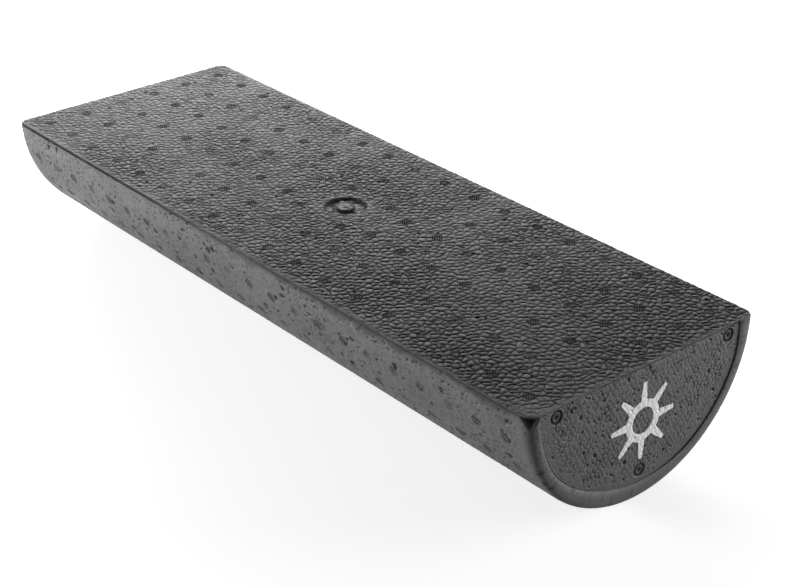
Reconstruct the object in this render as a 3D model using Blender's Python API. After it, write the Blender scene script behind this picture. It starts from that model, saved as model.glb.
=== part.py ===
"""Half round foam roller: one block of moulded bead foam with a printed mark on its end.

Metres, +Z up. The roller stands as it is photographed, on its round side with the flat
face up. +X runs along the length towards the printed end, and the origin lies under the
middle of the roller, on the floor.
"""
import math

import bmesh
import bpy
from mathutils import Matrix, Vector

# Overall size of the moulding, a true half round, so its height is half its width.
LENGTH = 0.455
WIDTH = 0.153
HEIGHT = WIDTH / 2

# Top skin, which stands out over the half round body along the parting line.
SKIN_THICKNESS = 0.0011
SKIN_OVERHANG = 0.0001
SKIN_CORNER_RADIUS = 0.0055
SKIN_EDGE_RADIUS = 0.0006
SKIN_CORNER_STEPS = 5
PARTING_HEIGHT = 0.0011
PARTING_DEPTH = 0.0008
BODY_CORNER_RADIUS = 0.0050

# Half round body. An odd number of steps round the arc puts a flat facet along the
# lowest line, so the solid rests as the foam does.
ARC_STEPS = 35
SMOOTH_ANGLE = math.radians(40)

# Rounded rim at each end, the seam inside it and the panel sunk below its crest. The
# rim's section is a quarter of a superellipse: the fuller, the tighter its corner.
RIM_WIDTH = 0.0080
RIM_SETBACK = 0.0003
RIM_FULLNESS = 5
RIM_STEPS = 4
SEAM_WIDTH = 0.0010
SEAM_DEPTH = 0.0005
PANEL_SETBACK = 0.0013

# Fill gun mark in the middle of the flat face.
FILL_RADIUS = 0.0114
FILL_DEPTH = 0.0020
FILL_NUB_RADIUS = 0.0052
FILL_NUB_DROP = 0.0004
FILL_WALL_LEAN = 0.0005
FILL_STEPS = 24

# Three round ejector marks on each end panel.
EJECTOR_RADIUS = 0.0038
EJECTOR_LAND_RADIUS = 0.0026
EJECTOR_PIP_RADIUS = 0.0008
EJECTOR_DEPTH = 0.0006
EJECTOR_LAND_DEPTH = 0.0002
EJECTOR_STEPS = 10
EJECTOR_TOP_DROP = 0.0066
EJECTOR_SIDE_INSET = 0.0175
EJECTOR_BOTTOM_INSET = 0.0165

# Core vent marks: shallow discs in a grid on the flat face and in rows round the side.
VENT_RADIUS = 0.0032
VENT_DEPTH = 0.0004
VENT_DRAFT = 0.0003
VENT_MARGIN = 0.0120
TOP_VENT_SIDES = 8
TOP_VENT_PITCH = 0.0250
SIDE_VENT_SIDES = 6
SIDE_VENT_PITCH = 0.0200
SIDE_ROW_ANGLE = math.radians(15)
FILL_VENT_OFFSET = 0.0180

# Printed mark: a plain sun, a ring with straight tapered rays.
PRINT_RADIUS = 0.0215
PRINT_RING_OUTER = 0.0115
PRINT_RING_INNER = 0.0072
PRINT_RAYS = 8
PRINT_RAY_ROOT_WIDTH = 0.0046
PRINT_RAY_TIP_WIDTH = 0.0024
PRINT_FILM = 0.0003
PRINT_GAP = 0.0003
PRINT_DROP = 0.0320
PRINT_GAP_STEPS = 3

# Overrun of every cutter past the face that it opens.
OVERRUN = 0.0010

BODY_RADIUS = WIDTH / 2 - SKIN_OVERHANG
AXIS_HEIGHT = BODY_RADIUS
FACET_SPREAD = 1 / math.cos(math.pi / ARC_STEPS / 2)
NECK_TOP = HEIGHT - SKIN_THICKNESS / 2
PANEL_X = LENGTH / 2 - PANEL_SETBACK
PANEL_RADIUS = BODY_RADIUS - RIM_WIDTH


def clear_scene():
    for item in list(bpy.data.objects):
        bpy.data.objects.remove(item, do_unlink=True)


def make_material(name, colour, roughness):
    material = bpy.data.materials.new(name)
    material.use_nodes = True
    shader = material.node_tree.nodes["Principled BSDF"]
    shader.inputs["Base Color"].default_value = (*colour, 1)
    shader.inputs["Roughness"].default_value = roughness
    shader.inputs["Metallic"].default_value = 0
    return material


def link_mesh(name, mesh_builder):
    """Turn a bmesh into an object of the scene, with its faces pointing out."""
    bmesh.ops.recalc_face_normals(mesh_builder, faces=mesh_builder.faces)
    mesh = bpy.data.meshes.new(name)
    mesh_builder.to_mesh(mesh)
    mesh_builder.free()
    item = bpy.data.objects.new(name, mesh)
    bpy.context.scene.collection.objects.link(item)
    return item


def rim_profile():
    """Distance from the axis and along X, from the panel's middle out to the round side."""
    points = [
        (0, PANEL_X),
        (PANEL_RADIUS, PANEL_X),
        (PANEL_RADIUS + SEAM_WIDTH / 2, PANEL_X - SEAM_DEPTH),
    ]
    inner = PANEL_RADIUS + SEAM_WIDTH
    foot = LENGTH / 2 - RIM_WIDTH
    crest = LENGTH / 2 - RIM_SETBACK
    for step in range(RIM_STEPS + 1):
        turn = math.pi / 2 * step / RIM_STEPS
        out = math.sin(turn) ** (2 / RIM_FULLNESS)
        up = math.cos(turn) ** (2 / RIM_FULLNESS)
        points.append((inner + (BODY_RADIUS - inner) * out, foot + (crest - foot) * up))
    return points


def turned_body():
    """Half turn of the end to end profile about the roller's axis, cut flat for the skin.

    The corners between the facets stand out a little, so that each facet's middle lies
    on the true round.
    """
    half = [(across * FACET_SPREAD, along) for across, along in rim_profile()]
    profile = half + [(across, -along) for across, along in reversed(half)]
    builder = bmesh.new()
    ring = [builder.verts.new((along, -across, AXIS_HEIGHT)) for across, along in profile]
    edges = [builder.edges.new(pair) for pair in zip(ring, ring[1:])]
    bmesh.ops.spin(
        builder,
        geom=ring + edges,
        axis=(1, 0, 0),
        cent=(0, 0, AXIS_HEIGHT),
        angle=math.pi,
        steps=ARC_STEPS,
    )
    bmesh.ops.remove_doubles(builder, verts=builder.verts, dist=SKIN_THICKNESS / 1000)
    bmesh.ops.bisect_plane(
        builder,
        geom=builder.verts[:] + builder.edges[:] + builder.faces[:],
        plane_co=(0, 0, NECK_TOP),
        plane_no=(0, 0, 1),
        clear_outer=True,
    )
    open_edges = [edge for edge in builder.edges if edge.is_boundary]
    bmesh.ops.holes_fill(builder, edges=open_edges)
    return link_mesh("foam_body", builder)


def box(name, low, high):
    builder = bmesh.new()
    bmesh.ops.create_cube(builder, size=1)
    low = Vector(low)
    high = Vector(high)
    bmesh.ops.scale(builder, verts=builder.verts, vec=high - low)
    bmesh.ops.translate(builder, verts=builder.verts, vec=(low + high) / 2)
    return link_mesh(name, builder)


def rounded_outline(half_length, half_width, corner):
    """Corner points of a rectangle with round corners, counter-clockwise from above."""
    points = []
    for quarter in range(4):
        sign_x = 1 if quarter in (0, 3) else -1
        sign_y = 1 if quarter in (0, 1) else -1
        centre_x = sign_x * (half_length - corner)
        centre_y = sign_y * (half_width - corner)
        for step in range(SKIN_CORNER_STEPS + 1):
            angle = math.pi / 2 * (quarter + step / SKIN_CORNER_STEPS)
            points.append((centre_x + corner * math.cos(angle), centre_y + corner * math.sin(angle)))
    return points


def top_skin():
    """Flat skin with round corners and a softened upper edge."""
    builder = bmesh.new()
    outline = rounded_outline(LENGTH / 2, WIDTH / 2, SKIN_CORNER_RADIUS)
    under = HEIGHT - SKIN_THICKNESS
    ring = [builder.verts.new((x, y, under)) for x, y in outline]
    base = builder.faces.new(ring)
    raised = bmesh.ops.extrude_face_region(builder, geom=[base])
    upper = [item for item in raised["geom"] if isinstance(item, bmesh.types.BMVert)]
    bmesh.ops.translate(builder, verts=upper, vec=(0, 0, SKIN_THICKNESS))
    rim = [edge for edge in builder.edges if all(vert in upper for vert in edge.verts)]
    bmesh.ops.bevel(
        builder,
        geom=rim,
        offset=SKIN_EDGE_RADIUS,
        offset_type="OFFSET",
        segments=2,
        profile=0.5,
        affect="EDGES",
    )
    return link_mesh("top_skin", builder)


def turned_cutter(name, profile, steps):
    """Solid of revolution about Z from points of (distance from the axis, height)."""
    builder = bmesh.new()
    ring = [builder.verts.new((across, 0, up)) for across, up in profile]
    edges = [builder.edges.new(pair) for pair in zip(ring, ring[1:] + ring[:1])]
    bmesh.ops.spin(
        builder,
        geom=ring + edges,
        axis=(0, 0, 1),
        cent=(0, 0, 0),
        angle=2 * math.pi,
        steps=steps,
        use_merge=True,
    )
    bmesh.ops.remove_doubles(builder, verts=builder.verts, dist=OVERRUN / 1000)
    return link_mesh(name, builder)


def apply_boolean(target, tool, operation):
    """Join or cut the target with the tool, then drop the tool."""
    modifier = target.modifiers.new(tool.name, "BOOLEAN")
    modifier.operation = operation
    modifier.solver = "EXACT"
    modifier.object = tool
    evaluated = target.evaluated_get(bpy.context.evaluated_depsgraph_get())
    result = bpy.data.meshes.new_from_object(evaluated)
    target.modifiers.clear()
    target.data = result
    bpy.data.objects.remove(tool, do_unlink=True)


def round_body_corners(body):
    """Round the upright corners, which fade out where the half round side draws in."""
    builder = bmesh.new()
    outline = rounded_outline(LENGTH / 2 - SKIN_OVERHANG, BODY_RADIUS, BODY_CORNER_RADIUS)
    base = builder.faces.new([builder.verts.new((x, y, -OVERRUN)) for x, y in outline])
    raised = bmesh.ops.extrude_face_region(builder, geom=[base])
    upper = [item for item in raised["geom"] if isinstance(item, bmesh.types.BMVert)]
    bmesh.ops.translate(builder, verts=upper, vec=(0, 0, HEIGHT + 2 * OVERRUN))
    apply_boolean(body, link_mesh("corner_cut", builder), "INTERSECT")


def cut_parting_steps(body):
    """Step along both long sides that leaves the dark parting line under the skin."""
    for side in (-1, 1):
        inner = side * (BODY_RADIUS - PARTING_DEPTH)
        outer = side * (BODY_RADIUS + OVERRUN)
        low = (-LENGTH / 2 - OVERRUN, min(inner, outer), HEIGHT - SKIN_THICKNESS - PARTING_HEIGHT)
        high = (LENGTH / 2 + OVERRUN, max(inner, outer), HEIGHT + OVERRUN)
        apply_boolean(body, box("parting_cut", low, high), "DIFFERENCE")


def cut_fill_mark(body):
    """Ring shaped recess with a nub in the middle, left by the bead filling gun."""
    floor = HEIGHT - FILL_DEPTH
    nub_top = HEIGHT - FILL_NUB_DROP
    above = HEIGHT + OVERRUN
    profile = [
        (0, nub_top),
        (FILL_NUB_RADIUS, nub_top),
        (FILL_NUB_RADIUS + FILL_WALL_LEAN, floor),
        (FILL_RADIUS - FILL_WALL_LEAN, floor),
        (FILL_RADIUS, HEIGHT),
        (FILL_RADIUS, above),
        (0, above),
    ]
    apply_boolean(body, turned_cutter("fill_cut", profile, FILL_STEPS), "DIFFERENCE")


def ejector_places():
    """Height and Y of the three marks on a panel: two upper corners and the foot."""
    across = BODY_RADIUS - EJECTOR_SIDE_INSET
    return [
        (-across, HEIGHT - EJECTOR_TOP_DROP),
        (across, HEIGHT - EJECTOR_TOP_DROP),
        (0, EJECTOR_BOTTOM_INSET),
    ]


def cut_ejector_marks(body):
    """Shallow ring with a raised land and a pip hole, three on each end panel."""
    profile = [
        (0, -EJECTOR_DEPTH),
        (EJECTOR_PIP_RADIUS, -EJECTOR_DEPTH),
        (EJECTOR_PIP_RADIUS, -EJECTOR_LAND_DEPTH),
        (EJECTOR_LAND_RADIUS, -EJECTOR_LAND_DEPTH),
        (EJECTOR_LAND_RADIUS, -EJECTOR_DEPTH),
        (EJECTOR_RADIUS, -EJECTOR_DEPTH),
        (EJECTOR_RADIUS, OVERRUN),
        (0, OVERRUN),
    ]
    for end in (-1, 1):
        for across, up in ejector_places():
            cutter = turned_cutter("ejector_cut", profile, EJECTOR_STEPS)
            place = Matrix.Translation((end * PANEL_X, across, up))
            cutter.data.transform(place @ Matrix.Rotation(end * math.pi / 2, 4, "Y"))
            apply_boolean(body, cutter, "DIFFERENCE")


def spread(half_length, pitch):
    """Evenly spaced places, alike on both sides of the middle, that fit the half length."""
    count = int(half_length / pitch + 1 / 2)
    return [sign * (step + 1 / 2) * pitch for step in range(count) for sign in (-1, 1)]


def top_vent_places():
    """Grid on the flat face; the four round the fill mark make room for it."""
    places = []
    for along in spread(LENGTH / 2 - VENT_MARGIN, TOP_VENT_PITCH):
        for across in spread(WIDTH / 2 - VENT_MARGIN, TOP_VENT_PITCH):
            if max(abs(along), abs(across)) < TOP_VENT_PITCH:
                along_here = math.copysign(FILL_VENT_OFFSET, along)
                across_here = math.copysign(FILL_VENT_OFFSET, across)
                places.append(Matrix.Translation((along_here, across_here, HEIGHT)))
            else:
                places.append(Matrix.Translation((along, across, HEIGHT)))
    return places


def side_vent_places():
    """Rows round the half round side, evenly spaced from the lowest line up both flanks."""
    rows = int((math.pi / 2 - VENT_MARGIN / BODY_RADIUS) / SIDE_ROW_ANGLE)
    places = []
    for along in spread(LENGTH / 2 - VENT_MARGIN, SIDE_VENT_PITCH):
        for row in range(-rows, rows + 1):
            turn = Matrix.Rotation(math.pi + row * SIDE_ROW_ANGLE, 4, "X")
            centre = Matrix.Translation((along, 0, AXIS_HEIGHT))
            places.append(centre @ turn @ Matrix.Translation((0, 0, BODY_RADIUS)))
    return places


def cut_vents(body, places, sides):
    """Cut one disc at each place, whose Z axis points out of the surface."""
    builder = bmesh.new()
    low = Matrix.Translation((0, 0, (OVERRUN - VENT_DEPTH) / 2))
    for place in places:
        bmesh.ops.create_cone(
            builder,
            cap_ends=True,
            segments=sides,
            radius1=VENT_RADIUS - VENT_DRAFT,
            radius2=VENT_RADIUS,
            depth=VENT_DEPTH + OVERRUN,
            matrix=place @ low,
        )
    apply_boolean(body, link_mesh("vent_cut", builder), "DIFFERENCE")


def build_foam_body():
    body = turned_body()
    round_body_corners(body)
    cut_parting_steps(body)
    apply_boolean(body, top_skin(), "UNION")
    cut_fill_mark(body)
    cut_ejector_marks(body)
    cut_vents(body, top_vent_places(), TOP_VENT_SIDES)
    cut_vents(body, side_vent_places(), SIDE_VENT_SIDES)
    body.data.shade_smooth()
    body.data.set_sharp_from_angle(angle=SMOOTH_ANGLE)
    body.data.materials.clear()
    body.data.materials.append(make_material("bead_foam", (0.125, 0.125, 0.127), 0.75))


def sun_outline():
    """Outer radius and angle of the sun's outline, ray by ray."""
    root = math.asin(PRINT_RAY_ROOT_WIDTH / 2 / PRINT_RING_OUTER)
    tip = math.asin(PRINT_RAY_TIP_WIDTH / 2 / PRINT_RADIUS)
    sector = 2 * math.pi / PRINT_RAYS
    points = []
    for ray in range(PRINT_RAYS):
        middle = ray * sector
        points.append((PRINT_RING_OUTER, middle - root))
        points.append((PRINT_RADIUS, middle - tip))
        points.append((PRINT_RADIUS, middle + tip))
        points.append((PRINT_RING_OUTER, middle + root))
        for step in range(1, PRINT_GAP_STEPS):
            share = step / PRINT_GAP_STEPS
            points.append((PRINT_RING_OUTER, middle + root + share * (sector - 2 * root)))
    return points


def build_end_print():
    """Thin film of ink in front of the +X panel."""
    builder = bmesh.new()
    outline = sun_outline()
    back = PANEL_X + PRINT_GAP
    front = back + PRINT_FILM
    up = HEIGHT - PRINT_DROP
    rings = []
    for is_inner, x in ((True, back), (False, back), (False, front), (True, front)):
        ring = []
        for outer, angle in outline:
            radius = PRINT_RING_INNER if is_inner else outer
            y = radius * math.sin(angle)
            z = up + radius * math.cos(angle)
            ring.append(builder.verts.new((x, y, z)))
        rings.append(ring)
    count = len(outline)
    for first, second in zip(rings, rings[1:] + rings[:1]):
        for step in range(count):
            following = (step + 1) % count
            builder.faces.new((first[step], first[following], second[following], second[step]))
    film = link_mesh("end_print", builder)
    film.data.materials.append(make_material("white_ink", (0.78, 0.78, 0.77), 0.6))


def main():
    clear_scene()
    build_foam_body()
    build_end_print()


main()
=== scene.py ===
"""Looks for the half round foam roller: moulded bead foam, its print, soft studio light."""

import math

import bpy
import numpy as np
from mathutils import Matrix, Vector


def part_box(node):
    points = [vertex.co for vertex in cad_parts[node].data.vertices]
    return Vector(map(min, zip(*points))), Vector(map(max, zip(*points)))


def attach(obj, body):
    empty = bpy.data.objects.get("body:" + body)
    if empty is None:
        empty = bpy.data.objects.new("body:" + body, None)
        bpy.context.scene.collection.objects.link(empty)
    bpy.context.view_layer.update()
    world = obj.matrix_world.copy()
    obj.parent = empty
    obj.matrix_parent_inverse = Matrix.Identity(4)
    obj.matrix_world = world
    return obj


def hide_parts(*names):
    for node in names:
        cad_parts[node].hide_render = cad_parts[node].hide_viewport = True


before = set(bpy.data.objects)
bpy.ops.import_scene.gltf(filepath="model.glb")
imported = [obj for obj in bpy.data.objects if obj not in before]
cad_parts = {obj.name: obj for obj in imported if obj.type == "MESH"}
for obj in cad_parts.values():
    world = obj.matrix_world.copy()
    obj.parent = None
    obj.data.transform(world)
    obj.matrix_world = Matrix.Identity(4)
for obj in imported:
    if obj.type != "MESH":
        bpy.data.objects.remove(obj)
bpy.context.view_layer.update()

# Everything about the foam is worked out in millimetres from the middle of the flat face:
# x along the roller, y across it, z up. The CAD's box gives the overall size.
METRE = 1000.0
BODY_LOW, BODY_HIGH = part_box("foam_body")
LENGTH = (BODY_HIGH.x - BODY_LOW.x) * METRE
WIDTH = (BODY_HIGH.y - BODY_LOW.y) * METRE
HEIGHT = (BODY_HIGH.z - BODY_LOW.z) * METRE
TINY = 1e-9

# Skin of the flat face, and the skirt under its rolled edge as (back, down) for each row.
SKIN_THICKNESS = 1.1
SKIN_OVERHANG = 0.1
SKIN_CORNER = 5.5
SKIN_CORNER_BEND = 1.5
SKIN_EDGE = 0.4
SKIN_STEP = 0.48
SKIN_SNAP = SKIN_STEP / 2
SKIRT_ROWS = ((0.0, 0.85), (0.06, 1.02), (0.2, SKIN_THICKNESS))
SKIRT_WOBBLE = 0.09
SKIRT_SHEET_STEP = 0.25
LIP_WIDTH = 0.5
LIP_FADE = 0.6
LIP_DROP = 0.05
GRAIN_TURN = math.radians(50)

# Half round side and the parting groove under the skin, as (down, depth) for each row.
ROUND_RADIUS = WIDTH / 2 - SKIN_OVERHANG
ROUND_AXIS = ROUND_RADIUS - HEIGHT
STATION_STEP = 0.75
ARC_STEP = 0.65
PARTING_DEPTH = 0.8
PARTING_HEIGHT = 1.1
PARTING_EDGE = 0.15
PARTING_ROWS = (
    (0.0, PARTING_DEPTH),
    (0.02, PARTING_DEPTH),
    (PARTING_HEIGHT - PARTING_EDGE, PARTING_DEPTH),
    (PARTING_HEIGHT, PARTING_EDGE),
    (PARTING_HEIGHT + PARTING_EDGE, 0.0),
)
PARTING_END = 0.5
PARTING_SHADE_END = 4.0

# Rounded rim and sunken panel at each end.
RIM_WIDTH = 8.0
RIM_SETBACK = 0.3
RIM_ROWS = 14
RIM_FULLNESS = 5.0
RIM_RELIEF = 0.3
CORNER_FULLNESS = 2.7
PANEL_SETBACK = 1.0
PANEL_ROWS = 140
PANEL_SNAP = 0.22
PANEL_EDGE_FADE = 1.5
SIDE_HALF = LENGTH / 2 - RIM_WIDTH
RIM_CREST = LENGTH / 2 - RIM_SETBACK
PANEL_X = LENGTH / 2 - PANEL_SETBACK
PANEL_RADIUS = ROUND_RADIUS - RIM_WIDTH - 0.3
UNDERCUT_DEPTH = 3.2
UNDERCUT_HEIGHT = 7.0
UNDERCUT_MARGIN = 1.0

# Seam between them: each row of its outer wall, as (in from the rim, down from its crest), the
# edges of its bed, and each row of its inner wall, as (out from the panel, down from it). The
# bed is the third and fourth of its six rows, and the body has such a seam at each end.
SEAM_WIDTH = 0.6
SEAM_DEPTH = 0.5
SEAM_OUTER_WALL = ((0.08, 0.08), (0.13, 0.3))
SEAM_BED_FROM_RIM = 0.2
SEAM_BED_FROM_PANEL = 0.12
SEAM_INNER_WALL = ((0.05, 0.1), (0.0, 0.0))
SEAM_ROWS = 6
SEAM_BED = np.s_[2:4]
BODY_SEAM_BEDS = [2, 3, -4, -3]

# Shares of the half turn, which is -1 and 1 at the skin: from where to where the panel's
# inset changes and by how many millimetres, the seam gets deep, the rims get slack, the
# relief and the darkness fade by the skin, and the rims' painted shade fades.
PANEL_INSET = -1.3
PANEL_INSET_STEPS = ((-0.7, -0.2, 3.7), (-0.05, 0.4, -2.1), (0.8, 1.0, 1.7))
DEEP_SEAM_SHARES = (0.45, 0.85)
SLACK_RIM_SHARES = (0.6, 0.95)
RELIEF_SHARES = (0.995, 0.97)
DARK_SHARES = (0.9985, 0.9905)
RIM_SHADE_SHARES = (0.05, 0.5)
CLOSEST_ROWS_SHARE = 0.003

# Rows and columns of the grids that may be drawn onto the creases between the beads.
FREE_SKIN = np.s_[4:-4, 4:-4]
FREE_PANEL = np.s_[2:-4, 8:-8]

# Mark of the fill gun. A ring of painted shade along a wall has its place outside it, and
# the distances from there at which it starts to fade and is gone.
FILL_RADIUS = 11.4
FILL_NUB_RADIUS = 4.7
FILL_DEPTH = 1.6
FILL_NUB_DROP = 0.4
FILL_SLOPE = 0.5
FILL_SNAP = 0.25
FILL_CALM_RADIUS = 22.0
FILL_RING = (0.15, 0.45, 1.1)
NUB_RING = (0.3, 0.2, 0.9)

# Marks of the mould's vents.
VENT_RADIUS = 3.1
VENT_EDGE = 0.8
VENT_REACH = 5.0
VENT_MARGIN = 12.0
VENT_PLACE_SPREAD = 0.4
VENT_TURN_SPREAD = 0.2
TOP_VENT_DEPTH = 0.2
SIDE_VENT_DEPTH = 0.25
SLOT_PITCH = 1.25
TOP_VENT_PITCH = 25.0
SIDE_VENT_PITCH = 20.0
SIDE_VENT_ARC = math.radians(15)
FILL_VENT_OFFSET = 18.0
TOP_SLOT_TURN = math.radians(-40)
SIDE_SLOT_TURN = math.radians(58)

# Ejector marks: where they are, and for each ring inside one where its edge starts and
# stops, how much deeper it lies and how much darker its painted shade is.
EJECTORS = ((-58.7, -6.6), (58.7, -6.6), (0.0, -60.0))
EJECTOR_EDGE = (3.5, 3.9)
EJECTOR_DEPTH = 0.7
EJECTOR_RINGS = ((2.3, 2.7, -0.45, -0.65), (1.5, 1.9, 0.25, 0.35), (0.6, 1.0, 0.4, 0.3))

# Beads: rows beyond the area that they cover, how wide a crease is and how long a pit is.
BEAD_MARGIN = 4
CREASE_WIDTH = 0.35
PIT_STRETCH = 1.5

# Relief of the three surfaces, the bands that are calmer, more pitted or rubbed, and the
# bands of painted shade under the skin.
TOP_LEVEL = 0.06
TOP_WAVE = 0.04
TOP_HOLE_DEPTH = 0.4
CALM_BY_EDGE = (1.0, 5.0)
CALM_BY_CORNER = (4.0, 26.0)
CALM_CORNER_RAGGED = 3.0
RUB_FULL = 0.6
RUB_GONE = 3.4
RUB_RAGGED = 1.6
SIDE_LEVEL = 0.05
SIDE_WAVE = 0.04
SIDE_SPECK_DEPTH = 0.3
SIDE_HOLE_DEPTH = 0.6
SPECKS_START = (1.5, 3.0)
SPECKS_STOP = (7.0, 13.0)
# Painted shade under the skin on the round side: where it is full and gone, its ragged edges and its
# ramp along the roller.
SHADE_UNDER_SKIN_FULL = 0.5
SHADE_UNDER_SKIN_GONE = 8.5
SHADE_UNDER_SKIN_RAGGED = 4.0
SHADE_UNDER_SKIN_FINE_RAGGED = 2.2
SHADE_UNDER_SKIN_ALONG = (-100.0, 50.0)
END_WAVE = 0.05
END_SPECK_DEPTH = 0.25
END_HOLE_DEPTH = 0.45
END_CALM_BAND = (PANEL_RADIUS - 8.0, PANEL_RADIUS - 4.0)
END_PITTED_BAND = (-12.0, -3.0)
# A shallow groove under the skin on each end panel, painted with the shade under the skin: its
# depth, where the shade is full and gone, and its ragged edge.
END_SHADE_GROOVE_DEPTH = 0.5
END_SHADE_FULL = 0.8
END_SHADE_GONE = 1.9
END_SHADE_RAGGED = 0.5
SKIRT_SHADE_ACROSS = (-50.0, -30.0)
# Ramp along the roller, and how much lighter the painted shade of the parting line and the skirt
# gets towards the printed end.
RAMP_TO_PRINTED_END = (-130.0, 20.0)
SHADE_LINE_FADE = 0.36

# Soft noises: the size of their bumps in millimetres, and the seed of their draw.
NOISE_KNOTS = 64
NOISES = {
    "skirt_wobble": (3, 3),
    "skirt_blots": (3, 4),
    "top_strength": (30, 5),
    "top_wave": (13, 6),
    "fill_floor_fine": (1.5, 8),
    "fill_nub": (2.0, 9),
    "fill_blots": (1.6, 10),
    "side_patch": (24, 14),
    "side_wave": (11, 15),
    "side_cluster": (15, 16),
    "shade_under_skin": (9, 17),
    "fill_floor": (4, 18),
    "rub_scuff": (2.5, 19),
    "calm_corner": (5, 20),
    "fill_rings": (3, 21),
    "shade_under_skin_fine": (2.4, 26),
    "side_mottle": (1.7, 27),
    "rub": (6, 28),
    "parting_line": (3, 29),
    "rim_shade_ragged": (5, 30),
    "end_patch": (6, 41),
    "end_wave": (12, 42),
    "end_cluster": (14, 43),
    "end_worn": (3, 44),
    "end_shade_under_skin": (4, 45),
}

# The sun print, in millimetres from its own middle.
SUN_CENTRE_Z = -32.0
SUN_RADIUS = 11.5
SUN_BAND = 4.3
SUN_CORNERS = 64
SUN_RAYS = 8
RAY_TURN = 2 * math.pi / SUN_RAYS
RAY_LENGTH = 10.0
RAY_STEPS = 5
RAY_ROOT_TURN = 0.2
RAY_TAPER = 0.48
RING_MARGIN = 0.2
INK_LEVELS = 3
INK_LIFT = 0.12
INK_THICKNESS = 0.18

# Looks of the three foam surfaces, in the order of their numbers. The grain's depth is in
# millimetres.
TOP, SIDE, END = range(3)
FOAM_LOOKS = {
    "foam_flat_face": {
        "level": 0.07, "sheen": 0.45, "specular": 0.5,
        "grain_scale": 1.6, "grain_depth": 0.22, "speck": 0.0, "disc_tone": 0.27,
    },
    "foam_round_side": {
        "level": 0.122, "sheen": 0.45, "specular": 0.32,
        "grain_scale": 1.3, "grain_depth": 0.25, "speck": 0.02, "disc_tone": 0.2,
    },
    "foam_end_panel": {
        "level": 0.09, "sheen": 0.5, "specular": 0.4,
        "grain_scale": 1.2, "grain_depth": 0.2, "speck": 0.02, "disc_tone": 0.12,
    },
}

# Places of the flattened surfaces on the sheet that the foam is baked on, in millimetres.
SHEET_SIZE = 500.0
SHEET_MIDDLE = SHEET_SIZE / 2
SHEET_MARGIN = 4.0
SIDE_SHEET_V = 124.0
TOP_SHEET_V = 328.0
END_SHEET_V = 492.0
END_SHEET_APART = 80.0
JOIN_SHEET_CORNERS = ((0, 0), (0, 1), (0.3, 1), (0.3, 1))

# Stage, in metres. A strength of 1 is the white that the camera sees.
AMBIENT = 0.1
FLOOR_SIZE = 12
FLOOR_WHITE = 0.7
FLOOR_MIRRORED = 0.2
LAMP_AIM = Vector((0, 0, 0.03))
SOFTBOXES = {
    "softbox_left": {
        "direction": (-0.68, -0.73), "elevation": 4, "distance": 1.5,
        "size": (1.0, 0.5), "power": 45,
    },
    "softbox_right": {
        "direction": (0.52, 0.85), "elevation": 4, "distance": 1.6,
        "size": (1.2, 0.5), "power": 38,
    },
    "softbox_back": {
        "direction": (-0.82, 0.57), "elevation": 20, "distance": 0.72,
        "size": (1.2, 0.4), "power": 3.8, "dip": 25, "spread": 80,
    },
}
LENS_MM = 80.45
SENSOR_MM = 36
CLIP_END = 20
CAMERA_PLACE = (0.70193, -0.54979, 0.49540)
CAMERA_DEGREES = (61.9895, 0.23832, 49.99603)


# Relief of the bead foam


def smooth_step(low, high, value):
    """0 at low and 1 at high, which may be the smaller one, and smooth between."""
    share = np.clip((value - low) / (high - low), 0, 1)
    return share * share * (3 - 2 * share)


def soft_noise(u, v, name):
    """Smooth noise from about -1 to 1, with the bumps and the draw that NOISES gives."""
    scale, seed = NOISES[name]
    knots = np.random.default_rng(seed).uniform(-1, 1, (NOISE_KNOTS, NOISE_KNOTS))
    column, row = np.floor(u / scale).astype(int), np.floor(v / scale).astype(int)
    across, up = smooth_step(0, 1, u / scale - column), smooth_step(0, 1, v / scale - row)
    left, right = column % NOISE_KNOTS, (column + 1) % NOISE_KNOTS
    low, high = (
        knots[left, level % NOISE_KNOTS] * (1 - across) + knots[right, level % NOISE_KNOTS] * across
        for level in (row, row + 1)
    )
    return low * (1 - up) + high * up


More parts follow.
